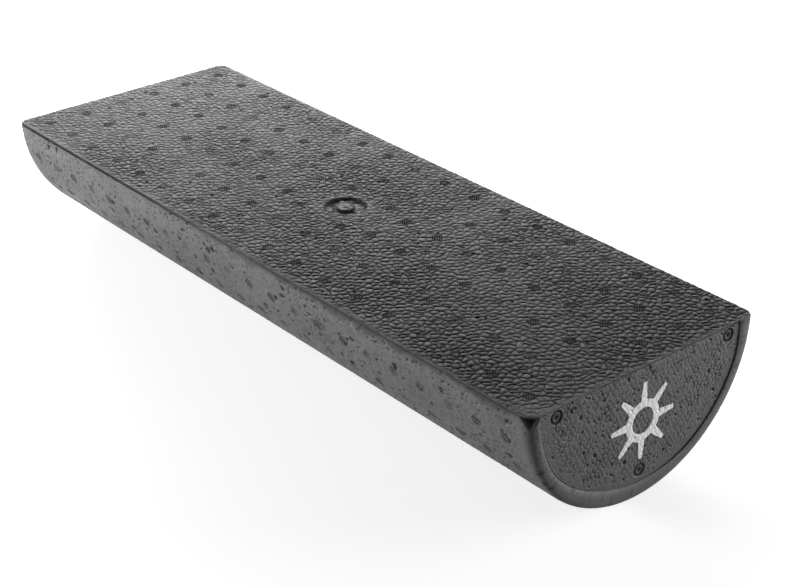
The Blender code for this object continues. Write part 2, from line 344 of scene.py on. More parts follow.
class Beads:
    """Fused beads in a jittered honeycomb over the plane (u, v)."""

    def __init__(self, half_u, half_v, pitch, jitter, seed):
        self.pitch = pitch
        self.row_height = pitch * math.sqrt(3) / 2
        self.first_row = -int(half_v / self.row_height) - BEAD_MARGIN
        self.first_column = -int(half_u / pitch) - BEAD_MARGIN
        rows = 1 - 2 * self.first_row
        columns = 1 - 2 * self.first_column
        rng = np.random.default_rng(seed)
        row, column = np.mgrid[0:rows, 0:columns]
        self.u = (column + self.first_column + (row % 2) / 2) * pitch
        self.v = (row + self.first_row) * self.row_height
        self.u = self.u + rng.uniform(-jitter, jitter, row.shape) * pitch
        self.v = self.v + rng.uniform(-jitter, jitter, row.shape) * pitch
        self.own = rng.uniform(-1, 1, (3, *row.shape))

    def around(self, u, v):
        """Rows and columns of the beads that may lie next to each point, one reach at a time."""
        row = np.round(v / self.row_height).astype(int) - self.first_row
        for step_row in range(-2, 3):
            here = np.clip(row + step_row, 0, self.u.shape[0] - 1)
            column = np.round(u / self.pitch - (here % 2) / 2).astype(int) - self.first_column
            for step_column in range(-2, 3):
                yield here, np.clip(column + step_column, 0, self.u.shape[1] - 1)

    def nearest(self, u, v):
        """Square of the distance to the nearest bead's middle, with its row and column."""
        best = np.full(u.shape, np.inf)
        near_row = np.zeros(u.shape, int)
        near_column = np.zeros(u.shape, int)
        for row, column in self.around(u, v):
            gap = (self.u[row, column] - u) ** 2 + (self.v[row, column] - v) ** 2
            closer = gap < best
            best = np.where(closer, gap, best)
            near_row = np.where(closer, row, near_row)
            near_column = np.where(closer, column, near_column)
        return best, near_row, near_column

    def measure(self, u, v):
        """Distance to the crease, unit vector to it, offset in the bead, the bead's own numbers."""
        best, near_row, near_column = self.nearest(u, v)
        centre_u, centre_v = self.u[near_row, near_column], self.v[near_row, near_column]
        crease = np.full(u.shape, np.inf)
        to_u, to_v = np.zeros(u.shape), np.zeros(u.shape)
        for row, column in self.around(u, v):
            other_u, other_v = self.u[row, column], self.v[row, column]
            apart = np.hypot(other_u - centre_u, other_v - centre_v)
            is_other = apart > 0
            apart = np.where(is_other, apart, 1)
            gap = ((other_u - u) ** 2 + (other_v - v) ** 2 - best) / (2 * apart)
            closer = is_other & (gap < crease)
            crease = np.where(closer, gap, crease)
            to_u = np.where(closer, (other_u - centre_u) / apart, to_u)
            to_v = np.where(closer, (other_v - centre_v) / apart, to_v)
        own = self.own[:, near_row, near_column]
        return crease, (to_u, to_v), (u - centre_u, v - centre_v), own

    def snap(self, u, v, reach):
        """Draw the points nearest to a crease onto it, so that each crease is one clean line."""
        crease, (to_u, to_v) = self.measure(u, v)[:2]
        pull = np.where(crease < reach, crease, 0)
        return u + to_u * pull, v + to_v * pull

    def relief(self, u, v, depth, crown, tilt, cross=1.0):
        """Height of the crowned, slightly tilted beads, and how near each point is to a crease.

        Creases that run along u have the full depth, and those across it this share of it. The
        nearness to a crease also sets the painted shade in the creases.
        """
        crease, (_, to_v), (du, dv), own = self.measure(u, v)
        near = np.exp(-crease / CREASE_WIDTH) * (cross + (1 - cross) * np.abs(to_v))
        fall = 1 - np.minimum(crease / (self.pitch / 2), 1)
        lean = tilt * (own[0] * du + own[1] * dv + own[2])
        return lean - depth * near - crown * fall * fall, near

    def pits(self, u, v, share, small, large):
        """1 in the heart of a pit and 0 outside. This share of the beads has one."""
        _, row, column = self.nearest(u, v)
        own = self.own[:, row, column]
        du, dv = u - self.u[row, column], v - self.v[row, column]
        radius = small + (large - small) * ((own[1] + 1) / 2) ** 3
        turn = own[2] * math.pi
        along = du * np.cos(turn) + dv * np.sin(turn)
        aside = dv * np.cos(turn) - du * np.sin(turn)
        away = np.hypot(along / PIT_STRETCH, aside)
        return np.where(own[0] < 2 * share - 1, 1 - smooth_step(0.6 * radius, 1.1 * radius, away), 0)


# Half sizes of the areas that the beads cover. The flat face's are in the frame of its grain.
TOP_AREA = (230.0, 250.0)
FACE_AREA = (LENGTH / 2, WIDTH / 2)
SIDE_AREA = (LENGTH / 2 + 12.0, 125.0)
END_AREA = (WIDTH / 2, WIDTH / 2)

TOP_BEADS = Beads(*TOP_AREA, pitch=3.95, jitter=0.42, seed=11)
TOP_HOLES = Beads(*FACE_AREA, pitch=6.0, jitter=0.4, seed=12)
SIDE_BEADS = Beads(*SIDE_AREA, pitch=3.3, jitter=0.27, seed=23)
SIDE_SPECKS = Beads(*SIDE_AREA, pitch=2.6, jitter=0.42, seed=24)
SIDE_HOLES = Beads(*SIDE_AREA, pitch=7.5, jitter=0.42, seed=25)
END_BEADS = Beads(*END_AREA, pitch=3.0, jitter=0.3, seed=37)
END_SPECKS = Beads(*END_AREA, pitch=2.4, jitter=0.4, seed=38)
END_HOLES = Beads(*END_AREA, pitch=6.5, jitter=0.42, seed=39)


def spread(half_length, pitch):
    """Places a pitch apart, even about the middle and clear of the edges."""
    count = int((half_length - VENT_MARGIN) / pitch + 0.5)
    return [side * (step + 0.5) * pitch for step in range(count) for side in (-1, 1)]


def top_vents():
    """Places of the flat face's vent marks. The four round the fill mark are drawn in."""
    places = []
    for x in spread(LENGTH / 2, TOP_VENT_PITCH):
        for y in spread(WIDTH / 2, TOP_VENT_PITCH):
            if max(abs(x), abs(y)) < TOP_VENT_PITCH:
                places.append([math.copysign(FILL_VENT_OFFSET, place) for place in (x, y)])
            else:
                places.append([x, y])
    return places


def side_vents():
    """Places of the round side's vent marks, along it and round it."""
    rows = int((math.pi / 2 - VENT_MARGIN / ROUND_RADIUS) / SIDE_VENT_ARC)
    return [
        (x, row * SIDE_VENT_ARC * ROUND_RADIUS)
        for x in spread(LENGTH / 2, SIDE_VENT_PITCH)
        for row in range(-rows, rows + 1)
    ]


def vent_marks(u, v, places, turn, turn_below, seed):
    """Distance to the nearest vent mark, and the place across its slots.

    The slots are turned one way where v is above zero and the other way below.
    """
    rng = np.random.default_rng(seed)
    away = np.full(u.shape, VENT_REACH)
    across = np.zeros(u.shape)
    for place_u, place_v in places:
        own_turn = turn if place_v > 0 else turn_below
        own_turn = own_turn + rng.uniform(-VENT_TURN_SPREAD, VENT_TURN_SPREAD)
        place_u = place_u + rng.uniform(-VENT_PLACE_SPREAD, VENT_PLACE_SPREAD)
        place_v = place_v + rng.uniform(-VENT_PLACE_SPREAD, VENT_PLACE_SPREAD)
        near = (np.abs(u - place_u) < VENT_REACH) & (np.abs(v - place_v) < VENT_REACH)
        du, dv = u[near] - place_u, v[near] - place_v
        away[near] = np.minimum(np.hypot(du, dv), VENT_REACH)
        across[near] = dv * math.cos(own_turn) - du * math.sin(own_turn)
    return away, across


def sink_vents(height, away, depth):
    """Sink the discs of the vent marks, on which the relief is weaker."""
    disc = 1 - smooth_step(VENT_RADIUS - VENT_EDGE, VENT_RADIUS, away)
    return height * (1 - 0.5 * disc) - depth * disc


def plain_marks(dark):
    """Marks for the paint, of points that no vent mark reaches."""
    return np.stack([np.full(dark.shape, VENT_REACH), 0 * dark, dark], -1)


def along_to_printed_end(x):
    """A ramp along the roller: 0 at the far end and 1 from the middle to the printed end."""
    return smooth_step(*RAMP_TO_PRINTED_END, x)


def to_grain(x, y):
    """Places on the flat face in the frame of its grain, along which the creases are deeper."""
    along = x * math.cos(GRAIN_TURN) + y * math.sin(GRAIN_TURN)
    return along, y * math.cos(GRAIN_TURN) - x * math.sin(GRAIN_TURN)


def from_grain(u, v):
    """Places in the frame of the grain, back on the flat face."""
    along = u * math.cos(GRAIN_TURN) - v * math.sin(GRAIN_TURN)
    return along, v * math.cos(GRAIN_TURN) + u * math.sin(GRAIN_TURN)


def top_strength(x, y, from_edge):
    """How strong the beads are: weaker by the fill mark, the edges and the nearest corner."""
    from_fill = np.hypot(x, y)
    from_corner = np.hypot(x - LENGTH / 2, y + WIDTH / 2)
    from_corner = from_corner + CALM_CORNER_RAGGED * soft_noise(x, y, "calm_corner")
    strength = 0.9 + 0.2 * soft_noise(x, y, "top_strength")
    strength = strength * (0.6 + 0.4 * smooth_step(FILL_RADIUS, FILL_CALM_RADIUS, from_fill))
    strength = strength * (0.75 + 0.25 * smooth_step(*CALM_BY_EDGE, from_edge))
    return strength * (0.5 + 0.5 * smooth_step(*CALM_BY_CORNER, from_corner))


def edge_rub(x, y):
    """Darkness of the rubbed bands along the long edges of the flat face."""
    scuff = smooth_step(-0.6, 0.4, soft_noise(x, y, "rub_scuff"))
    gone = RUB_GONE + RUB_RAGGED * soft_noise(x, y, "rub")
    rub = 1 - smooth_step(RUB_FULL, gone, WIDTH / 2 - np.abs(y))
    return (0.1 + 0.32 * along_to_printed_end(x)) * rub * (0.3 + 0.7 * scuff)


# Painted shade along a wall of the fill mark.
def painted_shade_ring(from_wall, outside, full, gone):
    """1 on a ring that lies this far outside a wall, fading from full to gone on both sides."""
    return 1 - smooth_step(full, gone, np.abs(from_wall - outside))


def sink_fill_mark(x, y, height, dark):
    """Sink the mark of the fill gun, a rough round recess with a nub in its middle."""
    from_fill = np.hypot(x, y)
    wall = np.clip((FILL_RADIUS - from_fill) / FILL_SLOPE, 0, 1)
    nub = np.clip((FILL_NUB_RADIUS + FILL_SLOPE - from_fill) / FILL_SLOPE, 0, 1)
    fine = 0.3 * soft_noise(x, y, "fill_floor_fine")
    floor = -FILL_DEPTH + fine + 0.35 * soft_noise(x, y, "fill_floor")
    crown = -FILL_NUB_DROP + 0.35 * soft_noise(x, y, "fill_nub")
    height = height * (1 - wall) + (floor * (1 - nub) + crown * nub) * wall
    # Painted shade in rings along the outer wall and round the nub's foot; the blots are mottles on
    # the floor.
    outer = painted_shade_ring(from_fill - FILL_RADIUS, *FILL_RING)
    rings = np.maximum(outer, 0.9 * painted_shade_ring(from_fill - FILL_NUB_RADIUS, *NUB_RING))
    rings = rings * (0.82 + 0.18 * soft_noise(x, y, "fill_rings"))
    blots = smooth_step(-0.1, 0.7, soft_noise(x, y, "fill_blots")) * wall
    return height, np.maximum(np.maximum(dark * (1 - wall), 0.6 * blots), rings)


def top_surface(x, y):
    """Relief of the flat face below its highest plane, and its marks for the paint."""
    from_edge = np.minimum(LENGTH / 2 - np.abs(x), WIDTH / 2 - np.abs(y))
    strength = top_strength(x, y, from_edge)
    relief, crease = TOP_BEADS.relief(*to_grain(x, y), depth=0.2, crown=0.52, tilt=0.08, cross=0.35)
    hole = TOP_HOLES.pits(x, y, share=0.07, small=0.5, large=1.0)
    height = relief * strength - TOP_LEVEL + TOP_WAVE * soft_noise(x, y, "top_wave")
    height = height - TOP_HOLE_DEPTH * hole
    away, across = vent_marks(x, y, top_vents(), TOP_SLOT_TURN, TOP_SLOT_TURN, seed=31)
    height = sink_vents(height, away, TOP_VENT_DEPTH)
    lip = 1 - smooth_step(LIP_WIDTH, LIP_WIDTH + LIP_FADE, from_edge)
    height = height * (1 - 0.45 * lip) - LIP_DROP * lip
    # Painted shade in the creases between the beads and in the pits, weaker where the beads are
    # calmer.
    dark = np.maximum(0.9 * crease * strength * (1 - lip), hole)
    dark = np.maximum(dark, edge_rub(x, y))
    height, dark = sink_fill_mark(x, y, height, dark)
    return np.minimum(height, 0), np.stack([away, across, dark], -1)


def side_shade_and_mottle(x, arc, from_skin):
    """Painted shade in a ragged band under the skin's edge, stronger towards the printed end, and
    mottles all over.
    """
    ragged = SHADE_UNDER_SKIN_RAGGED * soft_noise(x, arc, "shade_under_skin")
    ragged = ragged + SHADE_UNDER_SKIN_FINE_RAGGED * soft_noise(x, arc, "shade_under_skin_fine")
    shade_under_skin = 1 - smooth_step(SHADE_UNDER_SKIN_FULL, SHADE_UNDER_SKIN_GONE + ragged, from_skin)
    shade_under_skin = shade_under_skin * (0.25 + 0.6 * smooth_step(*SHADE_UNDER_SKIN_ALONG, x))
    mottle = 0.3 * smooth_step(-0.3, 0.9, soft_noise(x, arc, "side_mottle"))
    return shade_under_skin + mottle * (1 - shade_under_skin)


def side_surface(x, arc):
    """Relief of the half round side along its own normal, and its marks for the paint."""
    patch = smooth_step(-0.3, 0.8, soft_noise(x, arc, "side_patch"))
    relief, crease = SIDE_BEADS.relief(x, arc, depth=0.12, crown=0.08, tilt=0.03)
    height = relief * (0.3 + 0.7 * patch) + SIDE_WAVE * soft_noise(x, arc, "side_wave")
    from_skin = ROUND_RADIUS * math.pi / 2 - np.abs(arc)
    band = smooth_step(*SPECKS_START, from_skin) * (1 - smooth_step(*SPECKS_STOP, from_skin))
    cluster = smooth_step(0.1, 0.8, soft_noise(x, arc, "side_cluster"))
    speckled = 0.1 + 0.25 * band + 0.3 * cluster
    specks = SIDE_SPECKS.pits(x, arc, share=speckled, small=0.35, large=0.8)
    holes = SIDE_HOLES.pits(x, arc, share=0.26 + 0.22 * cluster, small=0.7, large=1.8)
    height = height - SIDE_LEVEL - SIDE_SPECK_DEPTH * specks - SIDE_HOLE_DEPTH * holes
    # Painted shade in the creases, specks and holes and in the band under the skin, with mottles.
    painted_side_shade = np.maximum(0.5 * crease * patch, side_shade_and_mottle(x, arc, from_skin))
    dark = np.maximum(np.maximum(specks, holes), painted_side_shade)
    away, across = vent_marks(x, arc, side_vents(), SIDE_SLOT_TURN, -SIDE_SLOT_TURN, seed=32)
    height = sink_vents(height, away, SIDE_VENT_DEPTH)
    return np.minimum(height, 0), np.stack([away, across, dark], -1)


def press_ejectors(y, z, height, dark):
    """Press the ringed marks of the ejectors into an end panel."""
    for place_y, place_z in EJECTORS:
        away = np.hypot(y - place_y, z - place_z)
        disc = 1 - smooth_step(*EJECTOR_EDGE, away)
        # The disc is painted dark, and darker as its rings lie deeper: painted shade in the recess.
        depth, shade = EJECTOR_DEPTH, 1
        for start, stop, deeper, darker in EJECTOR_RINGS:
            ring = 1 - smooth_step(start, stop, away)
            depth = depth + deeper * ring
            shade = shade + darker * ring
        height = height * (1 - disc) - disc * depth
        dark = dark * (1 - disc) + disc * shade
    return height, dark


def end_surface(y, z):
    """Relief of an end panel along X, and its marks for the paint."""
    relief, crease = END_BEADS.relief(y, z, depth=0.11, crown=0.08, tilt=0.035)
    patch = 0.6 + 0.4 * soft_noise(y, z, "end_patch")
    strength = 1 - 0.8 * smooth_step(*END_CALM_BAND, np.hypot(y, z - ROUND_AXIS))
    height = relief * strength + END_WAVE * soft_noise(y, z, "end_wave")
    cluster = smooth_step(-0.2, 0.8, soft_noise(y, z, "end_cluster"))
    band = smooth_step(*END_PITTED_BAND, z)
    speckled = 0.18 + 0.16 * cluster + 0.1 * band
    specks = END_SPECKS.pits(y, z, share=speckled, small=0.3, large=0.75)
    holes = END_HOLES.pits(y, z, share=0.3 + 0.3 * band, small=0.5, large=1.1)
    worn = smooth_step(-0.6, 0.5, soft_noise(y, z, "end_worn"))
    # Painted shade in the pits and in patchy creases, weaker where the panel is calm.
    dark = np.maximum(np.maximum(specks, holes), crease * patch * worn) * (0.4 + 0.6 * strength)
    height = height - END_SPECK_DEPTH * specks - END_HOLE_DEPTH * holes
    height, dark = press_ejectors(y, z, height, dark)
    # Groove under the skin's edge, painted with the shade that falls under it.
    shade_gone = END_SHADE_GONE + END_SHADE_RAGGED * soft_noise(y, z, "end_shade_under_skin")
    shade_under_skin = 1 - smooth_step(END_SHADE_FULL, shade_gone, -z - SKIN_THICKNESS)
    return height - END_SHADE_GROOVE_DEPTH * shade_under_skin, plain_marks(np.maximum(dark, shade_under_skin))


# Mesh of the foam body


class Shell:
    """Points and faces of one closed skin, gathered patch by patch."""

    def __init__(self):
        self.points = []
        self.marks = []
        self.faces = []
        self.sheets = []
        self.kinds = []
        self.count = 0

    def add(self, points, marks):
        """Add points of any shape (..., 3) with their marks; return their numbers."""
        shape = points.shape[:-1]
        self.points.append(points.reshape(-1, 3))
        self.marks.append(marks.reshape(-1, 3))
        numbers = np.arange(self.count, self.count + int(np.prod(shape))).reshape(shape)
        self.count += numbers.size
        return numbers

    def keep(self, faces, sheet, kind):
        """Keep faces of four point numbers with their places on the sheet and their surface."""
        self.faces.append(faces)
        self.sheets.append(sheet)
        self.kinds.append(np.full(len(faces), kind))

    def quads(self, grid, sheet, kind, flip=False):
        """Faces of a grid of point numbers, laid on the sheet at the same grid of places."""
        found, laid = (
            np.stack([part[:-1, :-1], part[1:, :-1], part[1:, 1:], part[:-1, 1:]], 2)
            for part in (grid, sheet)
        )
        order = -1 if flip else 1
        self.keep(found.reshape(-1, 4)[:, ::order], laid.reshape(-1, 4, 2)[:, ::order], kind)

    def zip_rings(self, outer, inner, kind):
        """Triangles between two rings of point numbers that start near each other."""
        places = np.concatenate(self.points)[:, :2]
        i = j = 0
        found = []
        while i < len(outer) or j < len(inner):
            here_i, here_j = outer[i % len(outer)], inner[j % len(inner)]
            next_i, next_j = outer[(i + 1) % len(outer)], inner[(j + 1) % len(inner)]
            across_i = np.sum((places[next_i] - places[here_j]) ** 2)
            across_j = np.sum((places[next_j] - places[here_i]) ** 2)
            if j >= len(inner) or (i < len(outer) and across_i <= across_j):
                found.append((here_i, here_j, next_i, next_i))
                i += 1
            else:
                found.append((here_i, here_j, next_j, next_j))
                j += 1
        run = SHEET_MARGIN + np.arange(len(found)) / len(found) * (SHEET_SIZE - 2 * SHEET_MARGIN)
        low = np.stack([run, np.full(len(found), SHEET_SIZE - SHEET_MARGIN)], 1)
        laid = np.stack([low + corner for corner in JOIN_SHEET_CORNERS], 1)
        self.keep(np.array(found), laid, kind)

    def mesh(self, name):
        """The mesh of all patches. A corner that a face names twice in a row counts once."""
        points, faces, sheets, kinds = (
            np.concatenate(part) for part in (self.points, self.faces, self.sheets, self.kinds)
        )
        corners = faces != np.roll(faces, 1, axis=1)
        good = corners.sum(1) >= 3
        faces, sheets, kinds, corners = (part[good] for part in (faces, sheets, kinds, corners))
        loops = faces[corners]
        sides = corners.sum(1)
        mesh = bpy.data.meshes.new(name)
        mesh.vertices.add(len(points))
        mesh.vertices.foreach_set("co", ((points + (0, 0, HEIGHT)) / METRE).ravel())
        mesh.loops.add(len(loops))
        mesh.loops.foreach_set("vertex_index", loops)
        mesh.polygons.add(len(sides))
        mesh.polygons.foreach_set("loop_start", np.concatenate([[0], np.cumsum(sides)[:-1]]))
        mesh.polygons.foreach_set("material_index", kinds)
        mesh.polygons.foreach_set("use_smooth", np.ones(len(sides), bool))
        baked = mesh.uv_layers.new(name="OFBake")
        baked.uv.foreach_set("vector", (sheets[corners] / SHEET_SIZE).ravel())
        marks = mesh.attributes.new("marks", "FLOAT_VECTOR", "POINT")
        marks.data.foreach_set("vector", np.concatenate(self.marks).ravel())
        mesh.update(calc_edges=True)
        mesh.validate()
        return mesh


def round_grid_corners(x, y, half_x, half_y, corner):
    """Bend a square grid so that its outer corners become round, without folding it."""
    over_x = np.abs(x) - (half_x - corner)
    over_y = np.abs(y) - (half_y - corner)
    inside = (over_x > 0) & (over_y > 0)
    widest = np.maximum(np.maximum(over_x, over_y), TINY)
    away = np.maximum(np.hypot(over_x, over_y), TINY)
    share = (widest / corner) ** SKIN_CORNER_BEND
    scale = np.where(inside, 1 + (widest / away - 1) * share, 1)
    new_x = np.where(inside, np.sign(x) * (half_x - corner + over_x * scale), x)
    new_y = np.where(inside, np.sign(y) * (half_y - corner + over_y * scale), y)
    return new_x, new_y


def snap_to_ring(u, v, radius, reach):
    """Draw the points nearest to a circle about the middle onto it."""
    away = np.hypot(u, v)
    scale = np.where(np.abs(away - radius) < reach, radius / np.maximum(away, TINY), 1)
    return u * scale, v * scale


def ring_of(grid):
    """The outer ring of a grid, counter-clockwise seen from above."""
    return np.concatenate([grid[:-1, 0], grid[-1, :-1], grid[:0:-1, -1], grid[0, :0:-1]])


def outward(places, half_x, half_y, corner):
    """Unit vectors out of a rectangle with round corners, at places on its edge."""
    over = np.maximum(np.abs(places) - (half_x - corner, half_y - corner), 0)
    out = np.sign(places) * over
    return out / np.maximum(np.hypot(out[:, 0], out[:, 1])[:, None], TINY)


# Painted shade on the skirt under the skin's rolled edge.
def skirt_shade(ring, out):
    """Darkness of the skirt: full on the long sides, and on the ends only near one corner."""
    worn = along_to_printed_end(ring[:, 0])
    blots = soft_noise(ring[:, 0] + ring[:, 1], ring[:, 0] - ring[:, 1], "skirt_blots")
    line_strength = 1 - SHADE_LINE_FADE * worn + (0.1 + 0.2 * worn) * blots
    at_end = 0.1 + 0.9 * smooth_step(*SKIRT_SHADE_ACROSS, ring[:, 1] * np.sign(ring[:, 0]))
    return (at_end + (1 - at_end) * np.abs(out[:, 1])) * line_strength


def add_skin(shell):
    """Flat face with its bead relief, rolled edge and short skirt. Returns the lowest ring."""
    half_x, half_y = LENGTH / 2 - SKIN_EDGE, WIDTH / 2 - SKIN_EDGE
    corner = SKIN_CORNER - SKIN_EDGE
    xs = np.linspace(-half_x, half_x, int(2 * half_x / SKIN_STEP) + 1)
    ys = np.linspace(-half_y, half_y, int(2 * half_y / SKIN_STEP) + 1)
    x, y = round_grid_corners(*np.meshgrid(xs, ys, indexing="ij"), half_x, half_y, corner)
    u, v = from_grain(*TOP_BEADS.snap(*to_grain(x[FREE_SKIN], y[FREE_SKIN]), SKIN_SNAP))
    for foot in (FILL_RADIUS, FILL_NUB_RADIUS + FILL_SLOPE):
        for radius in (foot, foot - FILL_SLOPE):
            u, v = snap_to_ring(u, v, radius, FILL_SNAP)
    x[FREE_SKIN], y[FREE_SKIN] = u, v
    height, marks = top_surface(x, y)
    grid = shell.add(np.stack([x, y, height], -1), marks)
    middle = (SHEET_MIDDLE, TOP_SHEET_V)
    shell.quads(grid, np.stack([x, y], -1) + middle, TOP)
    ring = np.stack([ring_of(x), ring_of(y), ring_of(height)], -1)
    out = outward(ring[:, :2], half_x, half_y, corner)
    turns = [math.radians(angle) for angle in (22.5, 45, 67.5, 90)]
    steps = [(SKIN_EDGE * math.sin(turn), SKIN_EDGE * (1 - math.cos(turn))) for turn in turns]
    steps += [(SKIN_EDGE - back, down) for back, down in SKIRT_ROWS]
    wobble = soft_noise(ring[:, 0] + ring[:, 1], ring[:, 0] - ring[:, 1], "skirt_wobble")
    wobble = SKIRT_WOBBLE * wobble - SKIRT_WOBBLE
    # Painted shade on the skirt under the skin's edge, fuller in its lower rows.
    shade_under_skin = skirt_shade(ring, out)
    rows = [ring_of(grid)]
    laid = [ring[:, :2] + middle]
    for number, (across, down) in enumerate(steps):
        place = ring.copy()
        place[:, :2] += out * (across + wobble * across / SKIN_EDGE)[:, None]
        place[:, 2] = -down if down > SKIN_EDGE else ring[:, 2] - down
        rows.append(shell.add(place, plain_marks(shade_under_skin * min(1, 0.7 + 0.1 * number))))
        laid.append(laid[0] + out * SKIRT_SHEET_STEP * (number + 1))
    closed = np.stack([np.append(row, row[0]) for row in rows])
    sheet = np.stack([np.vstack([row, row[:1]]) for row in laid])
    shell.quads(closed, sheet, TOP)
    return rows[-1]


def panel_inset(share):
    """How much narrower than an even rim leaves them the end panels are, round the half turn."""
    steps = (size * smooth_step(low, high, share) for low, high, size in PANEL_INSET_STEPS)
    return PANEL_INSET + sum(steps)


def rim_rows(fullness, inset):
    """Radius and X of the rounded rim, from the round side in to the crest, for each fullness."""
    turn = np.linspace(math.pi / 2, 0, RIM_ROWS)[:, None]
    out = np.sin(turn) ** (2 / fullness)
    fall = 1 - np.abs(np.cos(turn)) ** (2 / fullness)
    inner = PANEL_RADIUS + SEAM_WIDTH - inset
    radius = inner + (ROUND_RADIUS - inner) * out
    return radius, RIM_CREST - (RIM_CREST - SIDE_HALF) * fall


def seam_rows(deep, inset):
    """Radius and X from the crest of the rim down the seam and up to the panel."""
    rim, bed = PANEL_RADIUS + SEAM_WIDTH, PANEL_X - SEAM_DEPTH
    rows = [(rim - back, RIM_CREST - down) for back, down in SEAM_OUTER_WALL]
    rows += [(rim - SEAM_BED_FROM_RIM, bed), (PANEL_RADIUS + SEAM_BED_FROM_PANEL, bed)]
    rows += [(PANEL_RADIUS + out, PANEL_X - down) for out, down in SEAM_INNER_WALL]
    radius, x = np.array(rows).T[:, :, None] + 0 * inset
    radius -= inset
    x[SEAM_BED] += 0.7 * SEAM_DEPTH * (1 - deep)
    return radius, x


def side_shares():
    """Places round the half turn and the depth there, with close rows at the parting groove."""
    top_drop = SKIN_THICKNESS + ROUND_AXIS
    arcs = int(math.pi * ROUND_RADIUS / ARC_STEP)
    below, depth = np.array(PARTING_ROWS).T
    fine = np.arccos((top_drop + below) / ROUND_RADIUS) / math.acos(top_drop / ROUND_RADIUS)
    even = np.linspace(-1, 1, arcs + 1)
    even = even[np.abs(even) < fine[-1] - CLOSEST_ROWS_SHARE]
    share = np.concatenate([-fine, even, fine[::-1]])
    return share, np.concatenate([depth, 0 * even, depth[::-1]])


def body_rows(share, deep):
    """Radius and X of the body's rows, from the far end's seam to the printed end's."""
    inset = panel_inset(share)
    seam_radius, seam_x = seam_rows(deep, inset)
    ends = []
    for slack in (smooth_step(*SLACK_RIM_SHARES, share), smooth_step(*SLACK_RIM_SHARES, -share)):
        fullness = RIM_FULLNESS + (CORNER_FULLNESS - RIM_FULLNESS) * slack
        rim_radius, rim_x = rim_rows(fullness, inset)
        ends.append((np.vstack([rim_radius, seam_radius]), np.vstack([rim_x, seam_x])))
    (far_radius, far_x), (near_radius, near_x) = ends
    stations = int(2 * SIDE_HALF / STATION_STEP)
    side_x = np.linspace(-SIDE_HALF, SIDE_HALF, stations + 1)[1:-1, None] + 0 * share
    radius = np.vstack([far_radius[::-1], 0 * side_x + ROUND_RADIUS, near_radius])
    return radius, np.vstack([-far_x[::-1], side_x, near_x])


def length_along(radius, x):
    """Length along each line of the body from its middle, measured over rims and seams."""
    steps = np.hypot(np.diff(radius, axis=0), np.diff(x, axis=0))
    run = np.vstack([0 * radius[:1], np.cumsum(steps, axis=0)])
    return run - run[-1:] / 2


def undercut(x, y, z):
    """How far the body is drawn in under the skin at the corner nearest to the camera."""
    turn = np.arctan2(-y - PANEL_RADIUS, x - SIDE_HALF)
    at_corner = (x > SIDE_HALF - UNDERCUT_MARGIN) & (-y > PANEL_RADIUS - UNDERCUT_MARGIN)
    down = np.clip((-z - SKIN_THICKNESS) / UNDERCUT_HEIGHT, 0, 1)
    from_middle = np.abs(turn / (math.pi / 4) - 1)
    return np.where(at_corner, smooth_step(0, 0.6, 1 - down - from_middle), 0)


def body_darkness(dark, share, depth, x, run, arc, on_side, deep):
    """The surface's darkness, with the painted shade in the parting groove, on the rims and in the
    seam's bed.
    """
    dark = dark * (0.6 + 0.4 * on_side) * smooth_step(*DARK_SHARES, np.abs(share))
    # Painted shade in the parting groove, lighter towards the printed end.
    line = 1 - SHADE_LINE_FADE * along_to_printed_end(x)
    line = line + 0.2 * soft_noise(run, arc / ROUND_RADIUS, "parting_line")
    in_line = (depth > 0) & (np.abs(x) <= SIDE_HALF + PARTING_SHADE_END)
    # Painted shade on the rims, fading out on the +y side.
    rim_shade = smooth_step(SIDE_HALF + 1, SIDE_HALF + 5, np.abs(x))
    rim_shade = rim_shade * (1 - smooth_step(*RIM_SHADE_SHARES, share))
    rim_shade = rim_shade * (0.2 + 0.08 * soft_noise(run, arc, "rim_shade_ragged"))
    dark = np.maximum(np.maximum(dark, line * in_line), rim_shade)
    # Painted shade in the seam's bed, darker where the seam is deep.
    dark[BODY_SEAM_BEDS] = np.maximum(dark[BODY_SEAM_BEDS], 0.15 + 0.45 * deep)
    return dark


def add_body(shell):
    """Half round side, rounded rims, seams and end panels. Returns the ring under the skin."""
    share, depth = side_shares()
    deep = smooth_step(*DEEP_SEAM_SHARES, share)
    radius, x = body_rows(share, deep)
    run = length_along(radius, x)
    phi = share * np.arccos((SKIN_THICKNESS + ROUND_AXIS) / radius)
    arc = phi * ROUND_RADIUS
    relief, marks = side_surface(run, arc)
    on_side = 1 - smooth_step(SIDE_HALF - 4, SIDE_HALF + 3, np.abs(run))
    strength = smooth_step(*RELIEF_SHARES, np.abs(share)) * np.maximum(on_side, RIM_RELIEF)
    radius = radius + relief * strength - depth * (np.abs(x) <= SIDE_HALF + PARTING_END)
    y = radius * np.sin(phi)
    z = ROUND_AXIS - radius * np.cos(phi)
    z = np.where(np.abs(share) > 1 - TINY, -SKIN_THICKNESS, z)
    dark = body_darkness(marks[..., 2], share, depth, x, run, arc, on_side, deep)
    cut = undercut(x, y, z)
    # The undercut is painted dark as well: painted shade under the skin's corner.
    marks[..., 2] = np.maximum(dark, cut)
    drawn_in = UNDERCUT_DEPTH * math.sqrt(0.5) * cut
    points = np.stack([x - drawn_in, y + drawn_in, z], -1)
    grid = shell.add(points, marks)
    sheet = np.stack([run + SHEET_MIDDLE, arc + SIDE_SHEET_V], -1)
    low, high = np.s_[:SEAM_ROWS + 1], np.s_[-SEAM_ROWS - 1:]
    side = np.s_[SEAM_ROWS:-SEAM_ROWS]
    for part, kind in ((low, END), (side, SIDE), (high, END)):
        shell.quads(grid[part][::-1], sheet[part][::-1], kind)
    low_ring = add_panel(shell, -1, grid[0], points[0])
    high_ring = add_panel(shell, 1, grid[-1], points[-1])
    left, right = grid[:, 0], grid[:, -1]
    return np.concatenate([left[:-1], high_ring[:-1], right[::-1][:-1], low_ring[::-1][:-1]])


